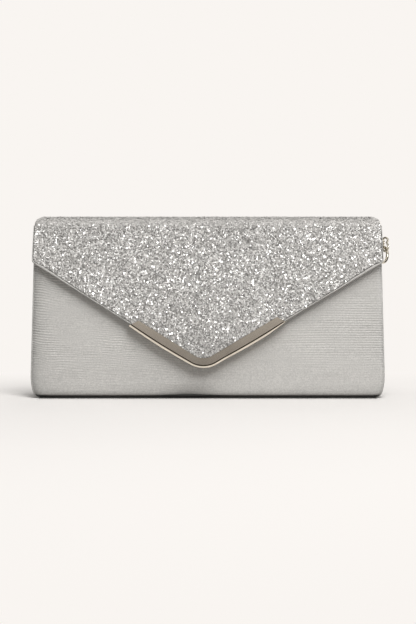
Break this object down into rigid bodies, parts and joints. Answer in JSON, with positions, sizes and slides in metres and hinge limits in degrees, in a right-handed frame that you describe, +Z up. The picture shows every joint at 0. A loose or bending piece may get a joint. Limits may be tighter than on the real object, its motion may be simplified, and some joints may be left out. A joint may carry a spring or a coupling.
{
  "type": "evening bag",
  "caption": "Envelope evening bag with a V-shaped glitter flap, metal trim on its tip, a magnetic snap, creased gussets and a strap ring on its right side.",
  "frame": {"origin": "middle of the flat foot, on the surface that the bag stands on", "axes": "+X across the width towards the strap ring, +Z up, and the flap faces -Y"},
  "size_m": [0.2499, 0.0561, 0.1241],
  "materials": {
    "silver_skin": "satin metallic coated fabric with fine horizontal lines",
    "silver_gusset": "satin metallic coated fabric",
    "silver_binding": "satin metallic binding",
    "card": "matte",
    "flap_card": "painted edge",
    "lining_cloth": "woven satin",
    "flap_lining_cloth": "satin metallic coated fabric",
    "glitter": "coarse silver glitter",
    "trim_metal": "polished light gunmetal",
    "ring_metal": "polished warm nickel",
    "snap_metal": "nickel plated",
    "magnet": "sintered magnet"
  },
  "bodies": {
    "body": {"outer_wrap": "silver_skin", "side_panel_right": "silver_gusset", "side_panel_left": "silver_gusset", "front_board": "card", "back_board": "card", "base_board": "card", "lining": "lining_cloth", "lining_pocket": "lining_cloth", "mouth_binding": "silver_binding", "snap_socket_cap": "snap_metal", "snap_magnet": "magnet", "snap_socket_prongs": "snap_metal", "snap_socket_washer": "snap_metal", "ring_eye": "ring_metal", "eye_rosette": "ring_metal", "eye_backing": "ring_metal", "flap_tail": "glitter"},
    "flap_top": {"flap_top_skin": "glitter", "flap_top_board": "card", "flap_top_lining": "flap_lining_cloth"},
    "flap_front": {"flap_skin": "glitter", "flap_board": "flap_card", "flap_lining": "flap_lining_cloth", "flap_trim": "trim_metal", "trim_screws": "snap_metal", "snap_stud_cap": "snap_metal", "snap_stud_prongs": "snap_metal", "snap_stud_washer": "snap_metal"},
    "ring": {"strap_ring": "ring_metal"}
  },
  "joints": [
    {"name": "flap_lift", "type": "hinge", "parent": "body", "child": "flap_top", "pos_m": [0, 0.02012, 0.1241], "axis": [-1, 0, 0], "range_deg": [0, 180]},
    {"name": "flap_unfold", "type": "hinge", "parent": "flap_top", "child": "flap_front", "pos_m": [0, -0.02313, 0.1241], "axis": [-1, 0, 0], "range_deg": [0, 86]},
    {"name": "ring_swing", "type": "hinge", "parent": "body", "child": "ring", "pos_m": [0.12478, 0.00903, 0.1002], "axis": [0.7771, -0.6293, 0], "range_deg": [-35, 90]}
  ]
}
